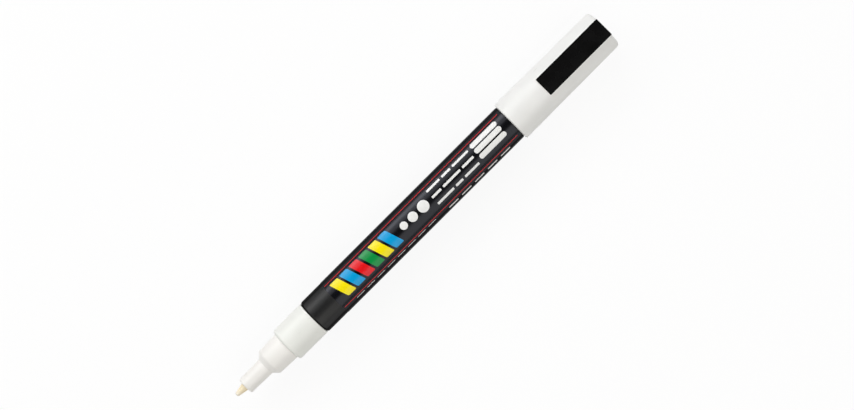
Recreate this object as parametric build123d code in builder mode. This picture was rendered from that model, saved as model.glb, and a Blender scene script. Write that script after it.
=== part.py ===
"""A slim valve-fed paint marker, lying on its side with its cap posted on the tail.

The marker's axis runs along X, nib at -X and cap at +X. Z is up, the lowest line of the cap touches Z = 0,
and the origin lies under the middle of the marker's length. Every turned piece is drawn in one section plane
as (station, radius), where a station is the distance in mm from the nib's tip.
"""

import math
import os

from build123d import *

# Nib
nib_tip_radius = 0.44
nib_tip_rounding = 0.40
nib_radius = 1.25
nib_taper_length = 3.3
nib_shoulder_rounding = 3.0
nib_exposed = 3.6
nib_length = 19.0
nib_end_chamfer = 0.25
nib_stroke = 1.2

# Nozzle: slim front, cone, thicker middle and the spigot that the neck holds
nozzle_step = 1.04
nozzle_slim_radius = 2.74
nozzle_slim_taper = 0.12
nozzle_middle_taper = 0.20
nozzle_slim_length = 8.2
nozzle_cone_length = 1.85
nozzle_middle_length = 6.65
nozzle_front_chamfer = 0.45
spigot_step = 0.6
spigot_length = 6.4
spigot_wall = 0.8
chamber_cone_setback = 0.6
feed_channels = 3
feed_channel_width = 0.6
feed_channel_depth = 0.4
feed_channel_setback = 2.0

# Neck
neck_length = 11.1
neck_step = 0.08
neck_front_chamfer = 0.6
neck_web = 1.2
neck_web_bore_radius = 2.2
neck_stem_length = 7.0
neck_stem_wall = 0.95
neck_stem_chamfer = 0.3

# Valve
seat_thickness = 1.2
seat_bore_radius = 1.4
seat_cone_depth = 0.6
stem_radius = 0.8
stem_pad_radius = 1.15
stem_pad_length = 0.8
stem_head_overlap = 0.15
stem_head_rim = 0.6
stem_boss_length = 0.8
stem_tail_setback = 0.1
stem_tail_chamfer = 0.2
cage_wall = 0.8
cage_length = 13.0
cage_end_wall = 1.0
cage_spring_post_length = 1.6
cage_windows = 4
cage_window_width = 3.0
cage_window_length = 2.6
cage_window_reach = 1.3
cage_rear_chamfer = 0.4
spring_wire_radius = 0.18
spring_mean_radius = 1.55
spring_turns = 5
spring_wire_sides = 6

# Barrel, film, ball and tail
barrel_radius = 5.72
barrel_wall = 1.0
barrel_length = 79.4
barrel_front_chamfer = 0.55
film_thickness = 0.08
film_front_setback = 8.3
film_rear_setback = 0.2
ball_radius = 1.8
tail_step = 0.14
tail_length = 22.2
tail_wall = 1.0
tail_end_chamfer = 1.2
tail_spigot_length = 8.0

# Cap
cap_taper = 0.22
cap_length = 37.6
cap_wall = 0.85
cap_end_wall = 1.2
cap_end_chamfer = 0.65
grip_ribs = 6
grip_rib_width = 0.9
grip_rib_height = 0.18
grip_rib_length = 16.0
grip_rib_setback = 2.5
bar_length = 24.5
bar_width = 6.2
bar_height = 0.1
bar_edge = 0.1
panel_thickness = 0.10
panel_setback = 0.1
inner_cap_flange = 1.0
inner_cap_wall = 0.8
inner_cap_ledge = 0.3

# Edge broken where one moulding meets the next
seam_chamfer = 0.2

# Clearances
push_fit = 0.02
nib_clearance = 0.04
guide_clearance = 0.05
seal_gap = 0.04
cap_mouth_gap = 0.2
cap_grip_clearance = 0.04
inner_cap_gap = 0.4
inner_cap_seal_clearance = 0.05
spring_seat_gap = 0.03
spring_side_clearance = 0.22
ball_gap = 0.15

# Stations along the axis, counted from the nib's tip
nozzle_front = nib_exposed
nozzle_foot = nozzle_front + nozzle_slim_length
nozzle_shoulder = nozzle_foot + nozzle_cone_length
neck_front = nozzle_shoulder + nozzle_middle_length
spigot_end = neck_front + spigot_length
seat_front = spigot_end + neck_web
cage_front = seat_front + seat_thickness
cage_end = cage_front + cage_length
cage_floor = cage_end - cage_end_wall
barrel_front = neck_front + neck_length
neck_end = barrel_front + neck_stem_length
film_front = barrel_front + film_front_setback
barrel_rear = barrel_front + barrel_length
film_rear = barrel_rear - film_rear_setback
tail_spigot_front = barrel_rear - tail_spigot_length
tail_end = barrel_rear + tail_length
cap_mouth = barrel_rear + cap_mouth_gap
cap_end = cap_mouth + cap_length
inner_cap_front = tail_end + inner_cap_gap
inner_cap_ledge_station = inner_cap_front + inner_cap_flange
cap_floor = cap_end - cap_end_wall
overall_length = cap_end

# Radii that follow from the sizes above
neck_radius = barrel_radius - neck_step
nozzle_rear_radius = neck_radius - nozzle_step
nozzle_shoulder_radius = nozzle_rear_radius - nozzle_middle_taper
nozzle_front_radius = nozzle_slim_radius - nozzle_slim_taper
nib_bore_radius = nib_radius + nib_clearance
spigot_radius = nozzle_rear_radius - spigot_step
socket_radius = spigot_radius + push_fit
chamber_radius = spigot_radius - spigot_wall
barrel_bore_radius = barrel_radius - barrel_wall
film_radius = barrel_radius + film_thickness
neck_stem_radius = barrel_bore_radius - push_fit
valve_bore_radius = neck_stem_radius - neck_stem_wall
cage_radius = valve_bore_radius - push_fit
cage_bore_radius = cage_radius - cage_wall
guide_bore_radius = stem_radius + guide_clearance
stem_head_radius = seat_bore_radius + seat_cone_depth + stem_head_overlap
stem_boss_radius = spring_mean_radius - spring_wire_radius - spring_side_clearance
spring_post_radius = spring_mean_radius + spring_wire_radius + spring_side_clearance
tail_radius = barrel_radius - tail_step
tail_spigot_radius = barrel_bore_radius - push_fit
tail_bore_radius = tail_spigot_radius - tail_wall
grip_rib_radius = tail_radius + cap_grip_clearance
cap_bore_radius = grip_rib_radius + grip_rib_height
cap_mouth_radius = cap_bore_radius + cap_wall
cap_end_radius = cap_mouth_radius - cap_taper
cap_inner_radius = cap_bore_radius - inner_cap_ledge
inner_cap_bore_radius = nozzle_slim_radius + inner_cap_seal_clearance
inner_cap_radius = inner_cap_bore_radius + inner_cap_wall
inner_cap_flange_radius = cap_bore_radius - push_fit
bar_top = cap_mouth_radius + bar_height
panel_width = bar_width - 2 * bar_edge

# Frame: every section is drawn from the nib's tip, on the plane through the axis and straight up
axis_height = cap_mouth_radius
nib_tip = Vector(-overall_length / 2, 0, axis_height)
section = Plane(origin=nib_tip, x_dir=(1, 0, 0), z_dir=(0, -1, 0))
marker_axis = Axis(nib_tip, (1, 0, 0))
os.makedirs("parts", exist_ok=True)


def crosswise(station):
    """The plane across the axis at a station, with its local X straight up and its Z towards the cap."""
    origin = nib_tip + Vector(station, 0, 0)
    return Plane(origin=origin, x_dir=(0, 0, 1), z_dir=(1, 0, 0))


def outline(*corners):
    """A closed face through (station, radius) corners; a third number rounds that corner."""
    with BuildLine() as border:
        Polyline(*[corner[:2] for corner in corners], close=True)
    face = make_face(border.edges())
    for station, radius, rounding in [corner for corner in corners if len(corner) == 3]:
        corner_vertex = face.vertices().sort_by_distance((station, radius))[0]
        face = fillet(corner_vertex, rounding)


# Nib: a bonded-fibre rod with a bullet point
with BuildPart() as nib:
    with BuildSketch(section):
        outline(
            (0, 0),
            (0, nib_tip_radius, nib_tip_rounding),
            (nib_taper_length, nib_radius, nib_shoulder_rounding),
            (nib_length - nib_end_chamfer, nib_radius),
            (nib_length, nib_radius - nib_end_chamfer),
            (nib_length, 0),
        )
    revolve(axis=marker_axis)
nib.part.label = "nib"

# Nozzle: holds the nib in a bore with feed channels, in front of a wide paint chamber
chamber_cone_front = nozzle_foot + chamber_cone_setback
chamber_cone_rear = nozzle_shoulder + chamber_cone_setback
feed_channel_front = nozzle_front + feed_channel_setback
with BuildPart() as nozzle:
    with BuildSketch(section):
        outline(
            (nozzle_front, nib_bore_radius),
            (nozzle_front, nozzle_front_radius - nozzle_front_chamfer),
            (nozzle_front + nozzle_front_chamfer, nozzle_front_radius),
            (nozzle_foot, nozzle_slim_radius),
            (nozzle_shoulder, nozzle_shoulder_radius),
            (neck_front - seam_chamfer, nozzle_rear_radius),
            (neck_front, nozzle_rear_radius - seam_chamfer),
            (neck_front, spigot_radius),
            (spigot_end, spigot_radius),
            (spigot_end, chamber_radius),
            (chamber_cone_rear, chamber_radius),
            (chamber_cone_front, nib_bore_radius),
        )
    revolve(axis=marker_axis)
    with BuildSketch(crosswise(feed_channel_front)):
        with PolarLocations(nib_bore_radius, feed_channels):
            Rectangle(2 * feed_channel_depth, feed_channel_width)
    extrude(amount=chamber_cone_rear - feed_channel_front, mode=Mode.SUBTRACT)
nozzle.part.label = "nozzle"

# Neck: socket for the nozzle in front, web for the valve, stem for the barrel behind
with BuildPart() as neck:
    with BuildSketch(section):
        outline(
            (neck_front, socket_radius),
            (neck_front, neck_radius - neck_front_chamfer),
            (neck_front + neck_front_chamfer, neck_radius),
            (barrel_front - seam_chamfer, neck_radius),
            (barrel_front, neck_radius - seam_chamfer),
            (barrel_front, neck_stem_radius),
            (neck_end - neck_stem_chamfer, neck_stem_radius),
            (neck_end, neck_stem_radius - neck_stem_chamfer),
            (neck_end, valve_bore_radius),
            (seat_front, valve_bore_radius),
            (seat_front, neck_web_bore_radius),
            (spigot_end, neck_web_bore_radius),
            (spigot_end, socket_radius),
        )
    revolve(axis=marker_axis)
neck.part.label = "neck"

# Valve seat: a rubber ring, coned where the stem's head closes on it
with BuildPart() as valve_seat:
    with BuildSketch(section):
        outline(
            (seat_front, seat_bore_radius),
            (seat_front, cage_radius),
            (cage_front, cage_radius),
            (cage_front, seat_bore_radius + seat_cone_depth),
            (cage_front - seat_cone_depth, seat_bore_radius),
        )
    revolve(axis=marker_axis)
valve_seat.part.label = "valve_seat"

# Valve stem: pad under the nib, rod through the seat, 45 degree head, boss and tail that carry the spring
head_cone_front = cage_front - seat_cone_depth - (seat_bore_radius - stem_radius) + seal_gap
head_rim_front = head_cone_front + stem_head_radius - stem_radius
head_rear = head_rim_front + stem_head_rim
stem_end = cage_end - nib_stroke - stem_tail_setback
with BuildPart() as valve_stem:
    with BuildSketch(section):
        outline(
            (nib_length, 0),
            (nib_length, stem_pad_radius),
            (nib_length + stem_pad_length, stem_pad_radius),
            (nib_length + stem_pad_length, stem_radius),
            (head_cone_front, stem_radius),
            (head_rim_front, stem_head_radius),
            (head_rear, stem_head_radius),
            (head_rear, stem_boss_radius),
            (head_rear + stem_boss_length, stem_boss_radius),
            (head_rear + stem_boss_length, stem_radius),
            (stem_end - stem_tail_chamfer, stem_radius),
            (stem_end, stem_radius - stem_tail_chamfer),
            (stem_end, 0),
        )
    revolve(axis=marker_axis)
valve_stem.part.label = "valve_stem"

# Valve cage: pressed into the neck behind the seat, open through side windows, with the stem's guide at its end
spring_seat = cage_floor - cage_spring_post_length
with BuildPart() as valve_cage:
    with BuildSketch(section):
        outline(
            (cage_front, cage_bore_radius),
            (cage_front, cage_radius),
            (cage_end - cage_rear_chamfer, cage_radius),
            (cage_end, cage_radius - cage_rear_chamfer),
            (cage_end, guide_bore_radius),
            (spring_seat, guide_bore_radius),
            (spring_seat, spring_post_radius),
            (cage_floor, spring_post_radius),
            (cage_floor, cage_bore_radius),
        )
    revolve(axis=marker_axis)
    with BuildSketch(crosswise(cage_floor - cage_window_length)):
        with PolarLocations(cage_radius, cage_windows):
            Rectangle(2 * cage_window_reach, cage_window_width)
    extrude(amount=cage_window_length, mode=Mode.SUBTRACT)
valve_cage.part.label = "valve_cage"

# Valve spring: one wire, wound from the stem's head to the post in the cage
spring_front = head_rear + spring_wire_radius + spring_seat_gap
spring_rear = spring_seat - spring_wire_radius - spring_seat_gap
spring_pitch = (spring_rear - spring_front) / spring_turns


def coil_point(turn):
    """The wire's centre after a number of turns, on a helix about the marker's axis."""
    angle = 2 * math.pi * turn
    across = Vector(0, spring_mean_radius * math.cos(angle), spring_mean_radius * math.sin(angle))
    return nib_tip + Vector(spring_front + spring_pitch * turn, 0, 0) + across


def coil_direction(turn):
    """The wire's direction after a number of turns."""
    angle = 2 * math.pi * turn
    speed = 2 * math.pi * spring_mean_radius
    return Vector(spring_pitch, -speed * math.sin(angle), speed * math.cos(angle)).normalized()


def half_turn(turn):
    """Two arcs that meet smoothly halfway, from a number of turns to half a turn further on."""
    start, end = coil_point(turn), coil_point(turn + 0.5)
    leaving, arriving = coil_direction(turn), coil_direction(turn + 0.5)
    chord, both = end - start, leaving + arriving
    slack = 4 - both.dot(both)
    reach = (math.sqrt(chord.dot(both) ** 2 + slack * chord.dot(chord)) - chord.dot(both)) / slack
    first_corner, second_corner = start + leaving * reach, end - arriving * reach
    middle = (first_corner + second_corner) / 2
    TangentArc(start, middle, tangent=leaving)
    TangentArc(middle, end, tangent=second_corner - first_corner)


def coil_gap(samples_per_turn=24):
    """The least free distance between neighbouring turns, measured between points of the wire's centre line."""
    points = [coil_point(i / samples_per_turn) for i in range(spring_turns * samples_per_turn + 1)]
    apart = samples_per_turn // 2
    spans = [(p - q).length for i, p in enumerate(points) for q in points[i + apart :]]
    return min(spans) - 2 * spring_wire_radius


with BuildPart() as valve_spring:
    with BuildLine() as coil:
        for half in range(2 * spring_turns):
            half_turn(half / 2)
    with BuildSketch(Plane(origin=coil_point(0), z_dir=coil_direction(0))):
        RegularPolygon(spring_wire_radius, spring_wire_sides)
    sweep(path=coil.line)
valve_spring.part.label = "valve_spring"
print(f"spring: {spring_turns} turns, least gap to itself {coil_gap():.2f} mm")

# Barrel: a plain tube with a rounded front lip
with BuildPart() as barrel:
    with BuildSketch(section):
        outline(
            (barrel_front, barrel_bore_radius),
            (barrel_front, barrel_radius - barrel_front_chamfer),
            (barrel_front + barrel_front_chamfer, barrel_radius),
            (barrel_rear - seam_chamfer, barrel_radius),
            (barrel_rear, barrel_radius - seam_chamfer),
            (barrel_rear, barrel_bore_radius),
        )
    revolve(axis=marker_axis)
barrel.part.label = "barrel"

# Label film: a thin printed sleeve on the barrel
with BuildPart() as label_film:
    with BuildSketch(section):
        outline(
            (film_front, barrel_radius),
            (film_front, film_radius),
            (film_rear, film_radius),
            (film_rear, barrel_radius),
        )
    revolve(axis=marker_axis)
label_film.part.label = "label_film"

# Mixing ball: lies on the bottom of the reservoir, against the valve cage
ball_station = cage_end + ball_radius + ball_gap
ball_drop = barrel_bore_radius - ball_radius - ball_gap
with BuildPart() as mixing_ball:
    with Locations(nib_tip + Vector(ball_station, 0, -ball_drop)):
        Sphere(ball_radius)
mixing_ball.part.label = "mixing_ball"

# Tail plug: a hollow closed end, pushed into the barrel
with BuildPart() as tail_plug:
    with BuildSketch(section):
        outline(
            (tail_spigot_front, tail_bore_radius),
            (tail_spigot_front, tail_spigot_radius),
            (barrel_rear, tail_spigot_radius),
            (barrel_rear, tail_radius),
            (tail_end - tail_end_chamfer, tail_radius),
            (tail_end, tail_radius - tail_end_chamfer),
            (tail_end, 0),
            (tail_end - tail_wall, 0),
            (tail_end - tail_wall, tail_bore_radius),
        )
    revolve(axis=marker_axis)
tail_plug.part.label = "tail_plug"

# Cap shell: tapered tube with a closed end, a flat-topped bar outside and grip ribs inside
bar_front = cap_end - bar_length
rib_root = grip_rib_height + cap_wall / 2
with BuildPart() as cap_shell:
    with BuildSketch(section):
        outline(
            (cap_mouth, 0),
            (cap_mouth, cap_mouth_radius - seam_chamfer),
            (cap_mouth + seam_chamfer, cap_mouth_radius),
            (cap_end - cap_end_chamfer, cap_end_radius),
            (cap_end, cap_end_radius - cap_end_chamfer),
            (cap_end, 0),
        )
    revolve(axis=marker_axis)
    with BuildSketch(crosswise(bar_front)):
        with Locations((bar_top / 2, 0)):
            bar_face = Rectangle(bar_top, bar_width)
        chamfer(bar_face.vertices().group_by(Axis.X)[-1], bar_edge)
    extrude(amount=bar_length)
    with BuildSketch(section):
        outline(
            (cap_mouth, 0),
            (cap_mouth, cap_bore_radius),
            (inner_cap_ledge_station, cap_bore_radius),
            (inner_cap_ledge_station, cap_inner_radius),
            (cap_floor, cap_inner_radius),
            (cap_floor, 0),
        )
    revolve(axis=marker_axis, mode=Mode.SUBTRACT)
    with BuildSketch(crosswise(cap_mouth + grip_rib_setback)):
        with PolarLocations(grip_rib_radius + rib_root / 2, grip_ribs):
            Rectangle(rib_root, grip_rib_width)
    extrude(amount=grip_rib_length)
cap_shell.part.label = "cap_shell"

# Inner cap: a flange on the cap's ledge and a closed sleeve that seals on the nozzle's slim front
sleeve_end = cap_floor - push_fit
with BuildPart() as inner_cap:
    with BuildSketch(section):
        outline(
            (inner_cap_front, inner_cap_bore_radius),
            (inner_cap_front, inner_cap_flange_radius),
            (inner_cap_ledge_station, inner_cap_flange_radius),
            (inner_cap_ledge_station, inner_cap_radius),
            (sleeve_end, inner_cap_radius),
            (sleeve_end, 0),
            (sleeve_end - inner_cap_wall, 0),
            (sleeve_end - inner_cap_wall, inner_cap_bore_radius),
        )
    revolve(axis=marker_axis)
inner_cap.part.label = "inner_cap"

# Cap panel: black foil on the bar's flat top
with BuildPart() as cap_panel:
    with BuildSketch(crosswise(bar_front + panel_setback)):
        with Locations((bar_top + panel_thickness / 2, 0)):
            Rectangle(panel_thickness, panel_width)
    extrude(amount=bar_length - panel_setback)
cap_panel.part.label = "cap_panel"

pieces = [
    nib,
    nozzle,
    neck,
    valve_seat,
    valve_stem,
    valve_spring,
    valve_cage,
    barrel,
    label_film,
    mixing_ball,
    tail_plug,
    cap_shell,
    inner_cap,
    cap_panel,
]
for piece in pieces:
    export_step(piece.part, f"parts/{piece.part.label}.step")
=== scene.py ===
"""Looks of a slim paint marker: mouldings, fibre nib, printed film, foil, valve parts and studio.

The file is laid out as a Blender add-on and run as a script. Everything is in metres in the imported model's
frame: the marker's axis runs along X, nib at -X and cap at +X, Z is up and the cap's lowest line touches
Z = 0.
"""

import math

import bpy
import numpy as np
from bpy.props import FloatProperty, FloatVectorProperty, IntProperty, PointerProperty
from mathutils import Matrix, Vector


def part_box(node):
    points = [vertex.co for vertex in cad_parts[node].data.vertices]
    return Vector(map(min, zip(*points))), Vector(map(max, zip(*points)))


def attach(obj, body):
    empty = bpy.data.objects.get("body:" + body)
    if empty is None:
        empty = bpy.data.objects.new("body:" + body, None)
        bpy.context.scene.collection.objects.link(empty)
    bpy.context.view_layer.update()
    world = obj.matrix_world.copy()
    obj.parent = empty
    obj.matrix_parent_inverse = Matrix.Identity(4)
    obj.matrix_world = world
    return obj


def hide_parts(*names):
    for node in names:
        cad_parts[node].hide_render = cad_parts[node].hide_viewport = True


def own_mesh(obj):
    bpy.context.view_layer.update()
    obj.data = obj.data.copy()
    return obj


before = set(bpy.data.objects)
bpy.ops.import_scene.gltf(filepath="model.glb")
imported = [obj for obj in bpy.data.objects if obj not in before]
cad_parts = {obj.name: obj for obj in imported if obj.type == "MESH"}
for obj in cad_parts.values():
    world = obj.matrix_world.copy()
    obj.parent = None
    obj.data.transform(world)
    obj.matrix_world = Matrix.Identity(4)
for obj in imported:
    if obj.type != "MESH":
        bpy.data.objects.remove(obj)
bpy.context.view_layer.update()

bl_info = {
    "name": "Paint marker",
    "version": (1, 0, 0),
    "blender": (4, 5, 0),
    "location": "3D View > Sidebar > Paint marker",
    "description": "Builds the looks of a paint marker round its packed CAD model",
    "category": "Object",
}

MM = 0.001
NIB_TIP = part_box("nib")[0].x
AXIS_HEIGHT = (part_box("barrel")[0].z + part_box("barrel")[1].z) / 2

# Fineness of the meshes
SIDES = 192  # columns of a turned piece
ARC_STEPS = 8  # steps along a rounded edge
RAMP_STEPS = 4  # steps up the end of a grip rib, and in over the cap's end face
CAP_ROWS = 5  # rows along the cap's plain length, and again along its bar
BAR_COLUMNS = (3, 5, 10, 5, 3, 240)  # bar's wall, corner, top, corner and wall, then the cap's round back
COIL_STEPS = 48  # steps in one turn of the spring
WIRE_SIDES = 14  # sides of the spring's wire
FLOOR_SIDES = 96  # columns of the studio floor
CREASE = math.radians(32)  # edges that turn by more than this stay sharp
LEAST = 1e-3  # keeps a division finite where its result isn't used

# Fibre ridges: how many waves run round the nib in each cosine, and the seed of their phases
RIDGE_WAVES = np.arange(11, 47, 4)
RIDGE_SEED = 7

# Satin: specular level, how far the surface has turned away where it starts and stops falling, what is left
WHITE_SATIN = (0.5, 0.45, 0.85, 0.1)
BLACK_SATIN = (0.42, 0.24, 0.5, 0.01)
FOIL_SATIN = (0.3, 0.3, 0.6, 0.05)

# Print in millimetres: each rule's height round the film and dash lengths, the pills' heights, the discs'
# diameters, and the first station, pitch, count, drop and thickness of each row of dashes near the edge
RULES = ((2.58, (5.2, 3.4, 6.3)), (0.17, (3.6, 6.8, 4.5)), (-2.32, (6.4, 2.8, 5.6)))
PILL_HEIGHTS = (2.70, 0.66, -1.45)
DISC_DIAMETERS = (2.4, 3.0, 3.6)
EDGE_ROWS = ((44.0, 4.1, 8, 0.0, 0.2), (80.5, 5.2, 5, 0.7, 0.5))
EDGE_FILL = 0.72  # share of its pitch that a dash near the edge fills
INK_EDGE = 0.03  # millimetres over which ink fades out
BAR_INKS = ("yellow_ink", "blue_ink", "red_ink", "green_ink", "yellow_ink", "blue_ink")

# Studio floor in metres: flat rings, then a cove that turns up into a low wall, so the horizon stays pale
FLOOR_RINGS = (0, 0.3, 1, 2.5)
COVE_REACH = 3.5
COVE_RADIUS = 0.3
WALL_TOP = 0.55
PAPER_GRAIN = (0.90, 0.94)  # darkest and lightest grey of the paper where it is seen
PAPER_BOUNCE = 0.52  # grey of the paper for the light that it throws back


def extent(node):
    """First X, last X and greatest radius of a turned CAD node."""
    low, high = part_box(node)
    return low.x, high.x, (high.y - low.y) / 2


def srgb(red, green, blue):
    """Linear colour of an sRGB colour given as 0 to 255."""
    share = np.array([red, green, blue]) / 255
    return tuple(np.where(share > 0.04045, ((share + 0.055) / 1.055) ** 2.4, share / 12.92).tolist())


def size_of(name, about, millimetres):
    """A length property whose default is given in millimetres."""
    default = millimetres * MM
    return FloatProperty(name=name, description=about, default=default, min=0, unit="LENGTH", precision=5)


def angle_of(name, about, degrees):
    """An angle property whose default is given in degrees."""
    return FloatProperty(name=name, description=about, default=math.radians(degrees), subtype="ANGLE")


def share_of(name, about, value):
    """A plain number property."""
    return FloatProperty(name=name, description=about, default=value)


def count_of(name, about, number):
    """A whole number property."""
    return IntProperty(name=name, description=about, default=number, min=1)


def colour_of(name, about, rgb):
    """A colour property with a linear default."""
    return FloatVectorProperty(name=name, description=about, default=rgb, min=0, max=1, subtype="COLOR")


class MarkerSizes(bpy.types.PropertyGroup):
    """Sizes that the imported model's boxes don't give"""

    nib_tip_radius: size_of("Nib tip radius", "Radius of the blunt tip before rounding", 0.64)
    nib_tip_rounding: size_of("Nib tip rounding", "Rounding of the blunt tip", 0.52)
    nib_taper: size_of("Nib taper", "Length of the bullet point", 3.3)
    nib_shoulder: size_of("Nib shoulder", "Rounding where the point meets the rod", 3.0)
    nib_bevel: size_of("Nib bevel", "Bevel of the rod's rear edge", 0.25)
    # Length of the painted highlight on the nib's tip
    tip_highlight_fade: size_of("Nib fade", "Length over which the tip's paler colour fades", 2.0)
    fibre_depth: size_of("Fibre depth", "Height of the ridges that the fibres make", 0.012)
    slim_front_radius: size_of("Slim front radius", "Nozzle radius at its front edge", 2.62)
    slim_radius: size_of("Slim radius", "Nozzle radius at the cone's foot", 2.74)
    slim_length: size_of("Slim length", "Length of the nozzle's slim front", 8.2)
    cone_length: size_of("Cone length", "Length of the nozzle's cone", 1.74)
    shoulder_radius: size_of("Shoulder radius", "Nozzle radius behind the cone", 4.40)
    nib_bore: size_of("Nib bore", "Radius of the bore that the nib slides in", 1.29)
    bore_rounding: size_of("Bore rounding", "Rounding of that bore's front edge", 0.08)
    nozzle_front_rounding: size_of("Nozzle front rounding", "Rounding of the front edge", 0.5)
    foot_rounding: size_of("Foot rounding", "Hollow rounding at the cone's foot", 0.35)
    shoulder_rounding: size_of("Shoulder rounding", "Rounding of the cone's shoulder", 1.1)
    spigot_radius: size_of("Spigot radius", "Radius of the spigot inside the neck", 4.0)
    spigot_wall: size_of("Spigot wall", "Wall of the spigot round the paint chamber", 0.8)
    spigot_length: size_of("Spigot length", "Length of the spigot inside the neck", 6.4)
    spigot_gap: size_of("Spigot gap", "Gap round the spigot inside the neck", 0.02)
    chamber_setback: size_of("Chamber setback", "Distance of the chamber's cone behind the outer cone", 0.6)
    channel_count: count_of("Feed channels", "Channels along the nib's bore", 3)
    channel_width: size_of("Channel width", "Width of a feed channel", 0.6)
    channel_depth: size_of("Channel depth", "Depth of a feed channel", 0.4)
    channel_setback: size_of("Channel setback", "Distance of the channels from the nozzle's front", 2.0)
    channel_slope: size_of("Channel slope", "Length of the slope at the channels' front", 0.02)
    neck_front_rounding: size_of("Neck front rounding", "Rounding of the neck's front edge", 0.82)
    neck_length: size_of("Neck length", "Length of the neck that shows", 11.1)
    neck_stem_radius: size_of("Neck stem radius", "Radius of the stem inside the barrel", 4.70)
    neck_stem_bore: size_of("Neck stem bore", "Bore behind the web", 3.75)
    neck_web_bore: size_of("Web bore", "Bore of the web that the valve seats on", 2.2)
    neck_web: size_of("Web thickness", "Thickness of that web", 1.2)
    plug_rounding: size_of("Plug rounding", "Rounding of the edges that go into the barrel", 0.3)
    barrel_bore: size_of("Barrel bore", "Radius of the barrel's bore", 4.72)
    barrel_front_rounding: size_of("Barrel front rounding", "Rounding of the barrel's lip", 0.9)
    barrel_rear_rounding: size_of("Barrel rear rounding", "Rounding of the barrel's rear edge", 0.1)
    seam_rounding: size_of("Seam rounding", "Rounding of edges at the seams", 0.18)
    film_edge: size_of("Film edge", "Rounding of the film's cut edges", 0.03)
    tail_length: size_of("Tail length", "Length of the tail plug behind the barrel", 22.2)
    tail_spigot_radius: size_of("Tail spigot radius", "Radius of the spigot in the barrel", 4.70)
    tail_wall: size_of("Tail wall", "Wall of the tail plug", 1.0)
    tail_end_rounding: size_of("Tail end rounding", "Rounding of the tail's end", 1.8)
    cap_end_radius: size_of("Cap end radius", "Radius of the cap at its closed end", 6.43)
    cap_end_rounding: size_of("Cap end rounding", "Rounding of the cap's closed end", 1.1)
    cap_mouth_rounding: size_of("Cap mouth rounding", "Rounding of the cap's mouth", 0.22)
    cap_bore: size_of("Cap bore", "Radius of the cap's bore", 5.80)
    cap_ledge: size_of("Cap ledge", "Step in the bore that the sealing sleeve sits on", 0.30)
    cap_end_wall: size_of("Cap end wall", "Thickness of the cap's closed end", 1.2)
    bar_length: size_of("Bar length", "Length of the flat bar on the cap", 24.5)
    bar_width: size_of("Bar width", "Width of the flat bar on the cap", 6.2)
    bar_edge: size_of("Bar edge", "Rounding of the bar's edges", 0.12)
    rib_count: count_of("Ribs", "Number of grip ribs in the cap", 6)
    rib_height: size_of("Rib height", "Height of the grip ribs", 0.18)
    rib_width: size_of("Rib width", "Width of the grip ribs at their foot", 0.9)
    rib_setback: size_of("Rib setback", "Distance of the ribs from the mouth", 2.5)
    rib_length: size_of("Rib length", "Length of the grip ribs", 16.0)
    rib_ramp: size_of("Rib ramp", "Length over which a rib rises at each end", 0.4)
    foil_corner: size_of("Foil corner", "Rounding of the foil's corners", 0.2)
    foil_edge: size_of("Foil edge", "Rounding of the foil's edges", 0.03)
    foil_border: size_of("Foil border", "Width of the faces along the foil's edges", 0.15)
    sleeve_wall: size_of("Sleeve wall", "Wall of the sealing sleeve in the cap", 0.8)
    sleeve_radius: size_of("Sleeve radius", "Outer radius of the sealing sleeve", 3.59)
    sleeve_rounding: size_of("Sleeve rounding", "Rounding of the sleeve's foot and end", 0.2)
    sleeve_mouth_rounding: size_of("Sleeve mouth rounding", "Rounding of the sleeve's bore", 0.25)
    sleeve_flange: size_of("Sleeve flange", "Thickness of the sleeve's flange", 1.0)
    flange_rounding: size_of("Flange rounding", "Rounding of that flange", 0.15)
    wire_radius: size_of("Wire radius", "Radius of the valve spring's wire", 0.18)
    wire_turns: count_of("Wire turns", "Turns of the valve spring", 5)


class MarkerColours(bpy.types.PropertyGroup):
    """Colours of the marker's materials and printing inks"""

    nib: colour_of("Nib", "Cream bonded fibre", srgb(255, 240, 207))
    # Painted highlight: the paler tip colour stands in for light on the nib's tip
    tip_highlight: colour_of("Nib tip", "Paler fibre at the tip", srgb(255, 248, 232))
    nozzle: colour_of("Nozzle", "Warm white moulding", srgb(246, 244, 240))
    neck: colour_of("Neck", "Slightly green white moulding", srgb(240, 241, 236))
    cap: colour_of("Cap", "White moulding of the cap and tail", srgb(241, 241, 239))
    natural: colour_of("Natural plastic", "Unpigmented moulding", srgb(229, 229, 221))
    barrel: colour_of("Barrel", "Black moulding", srgb(12, 12, 13))
    film: colour_of("Film", "Black film", srgb(7, 7, 10))
    film_sheen: colour_of("Film sheen", "Bluish tint of the film's reflections", (0.86, 0.88, 1.0))
    foil: colour_of("Foil", "Black foil on the cap", srgb(6, 6, 6))
    rubber: colour_of("Rubber", "Valve seat", srgb(38, 38, 39))
    steel: colour_of("Steel", "Spring wire and mixing ball", srgb(198, 199, 201))
    white_ink: colour_of("White ink", "Rules, pills, discs and dashes on the film", srgb(242, 242, 240))
    red_ink: colour_of("Red ink", "Pinstripes and a bar", srgb(230, 18, 24))
    yellow_ink: colour_of("Yellow ink", "Two of the bars", srgb(253, 234, 0))
    green_ink: colour_of("Green ink", "One of the bars", srgb(4, 145, 64))
    blue_ink: colour_of("Blue ink", "Two of the bars", srgb(0, 160, 221))


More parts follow.
